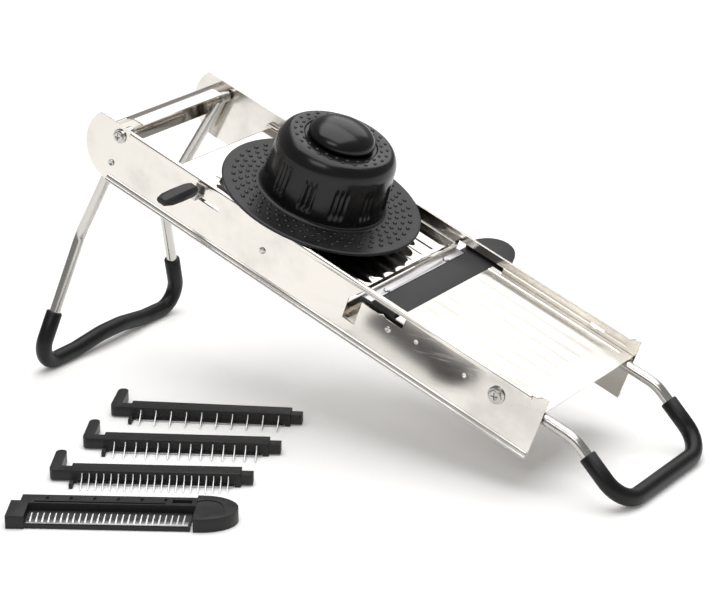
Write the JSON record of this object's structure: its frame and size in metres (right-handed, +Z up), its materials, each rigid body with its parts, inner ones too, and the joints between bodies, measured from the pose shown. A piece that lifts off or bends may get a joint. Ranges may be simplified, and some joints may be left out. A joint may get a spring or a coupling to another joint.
{
  "type": "mandoline slicer",
  "caption": "Steel mandoline slicer sloping on two folding wire legs, with cup hand guard, hinged ramp and thickness lever, sliding blade carrier, loose julienne combs and a comb tray",
  "frame": {"origin": "middle of everything as it stands, on the floor", "axes": "+Z up; +X runs along the slicer from its raised head to its low end; +Y points across it, away from the side where the combs lie"},
  "size_m": [0.4856, 0.3952, 0.2118],
  "materials": {
    "polished_steel": "polished stainless sheet and wire",
    "satin_steel": "fine ground steel",
    "charcoal_plastic": "moulded charcoal plastic, softly glossy on the guard",
    "black_rubber": "smooth black rubber"
  },
  "bodies": {
    "body": {"side_rail_near": "polished_steel", "side_rail_far": "polished_steel", "head_bridge": "polished_steel", "landing_plate": "polished_steel", "comb_channel": "polished_steel", "ramp_bracket_near": "polished_steel", "ramp_bracket_far": "polished_steel", "ramp_hinge_rod": "satin_steel", "mid_brace": "polished_steel", "carrier_seat": "polished_steel", "lever_crossbar": "polished_steel", "lever_pivot_pin": "satin_steel", "brace_rivet_near": "satin_steel", "brace_rivet_far": "satin_steel", "seat_rivet_near": "satin_steel", "seat_rivet_far": "satin_steel", "leg_detent_near": "satin_steel", "leg_detent_far": "satin_steel", "tall_leg_bolt_near": "satin_steel", "tall_leg_bolt_far": "satin_steel", "short_foot_bolt_near": "satin_steel", "short_foot_bolt_far": "satin_steel"},
    "ramp": {"feed_ramp": "polished_steel", "ramp_follower": "satin_steel"},
    "lever": {"thickness_lever_arm": "satin_steel", "thickness_lever_grip": "charcoal_plastic"},
    "tall_leg": {"tall_leg_wire": "polished_steel", "tall_leg_sleeve": "black_rubber"},
    "short_foot": {"short_foot_wire": "polished_steel", "short_foot_sleeve": "black_rubber"},
    "carrier": {"blade_carrier": "charcoal_plastic", "main_blade": "satin_steel", "blade_rivet_near": "satin_steel", "blade_rivet_far": "satin_steel"},
    "guard": {"hand_guard": "charcoal_plastic"},
    "plunger": {"plunger_knob": "charcoal_plastic", "plunger_stem": "charcoal_plastic", "gripper_disc": "charcoal_plastic"},
    "coarse_comb": {"coarse_comb_bar": "charcoal_plastic", "coarse_comb_teeth": "satin_steel"},
    "medium_comb": {"medium_comb_bar": "charcoal_plastic", "medium_comb_teeth": "satin_steel"},
    "fine_comb": {"fine_comb_bar": "charcoal_plastic", "fine_comb_teeth": "satin_steel"},
    "holder": {"comb_holder": "charcoal_plastic", "holder_teeth": "satin_steel"}
  },
  "joints": [
    {"name": "tall_leg_fold", "type": "hinge", "parent": "body", "child": "tall_leg", "pos_m": [-0.16777, 0.10058, 0.18997], "axis": [0, -1, 0], "range_deg": [0, 75]},
    {"name": "short_foot_fold", "type": "hinge", "parent": "body", "child": "short_foot", "pos_m": [0.14391, 0.10058, 0.06504], "axis": [0, 1, 0], "range_deg": [0, 150]},
    {"name": "lever_swing", "type": "hinge", "parent": "body", "child": "lever", "pos_m": [-0.10231, 0.10058, 0.15891], "axis": [0.3523, 0, 0.9359], "range_deg": [0, 14]},
    {"name": "ramp_tilt", "type": "hinge", "parent": "body", "child": "ramp", "pos_m": [-0.12622, 0.10058, 0.1692], "axis": [0, 1, 0], "range_deg": [0, 3]},
    {"name": "carrier_slide", "type": "slide", "parent": "body", "child": "carrier", "axis": [0, 1, 0], "range_m": [0, 0.16]},
    {"name": "guard_slide", "type": "slide", "parent": "body", "child": "guard", "axis": [0.9359, 0, -0.3523], "range_m": [-0.055, 0.163]},
    {"name": "plunger_lift", "type": "slide", "parent": "guard", "child": "plunger", "axis": [0.3523, 0, 0.9359], "range_m": [0, 0.035]},
    {"name": "coarse_comb_lift", "type": "slide", "parent": "body", "child": "coarse_comb", "axis": [0, 0, 1], "range_m": [0, 0.05]},
    {"name": "medium_comb_lift", "type": "slide", "parent": "body", "child": "medium_comb", "axis": [0, 0, 1], "range_m": [0, 0.05]},
    {"name": "fine_comb_lift", "type": "slide", "parent": "body", "child": "fine_comb", "axis": [0, 0, 1], "range_m": [0, 0.05]},
    {"name": "holder_lift", "type": "slide", "parent": "body", "child": "holder", "axis": [0, 0, 1], "range_m": [0, 0.05]}
  ],
  "couplings": [
    {"joint": "ramp_tilt", "follows": "lever_swing", "ratio": 0.21429}
  ]
}
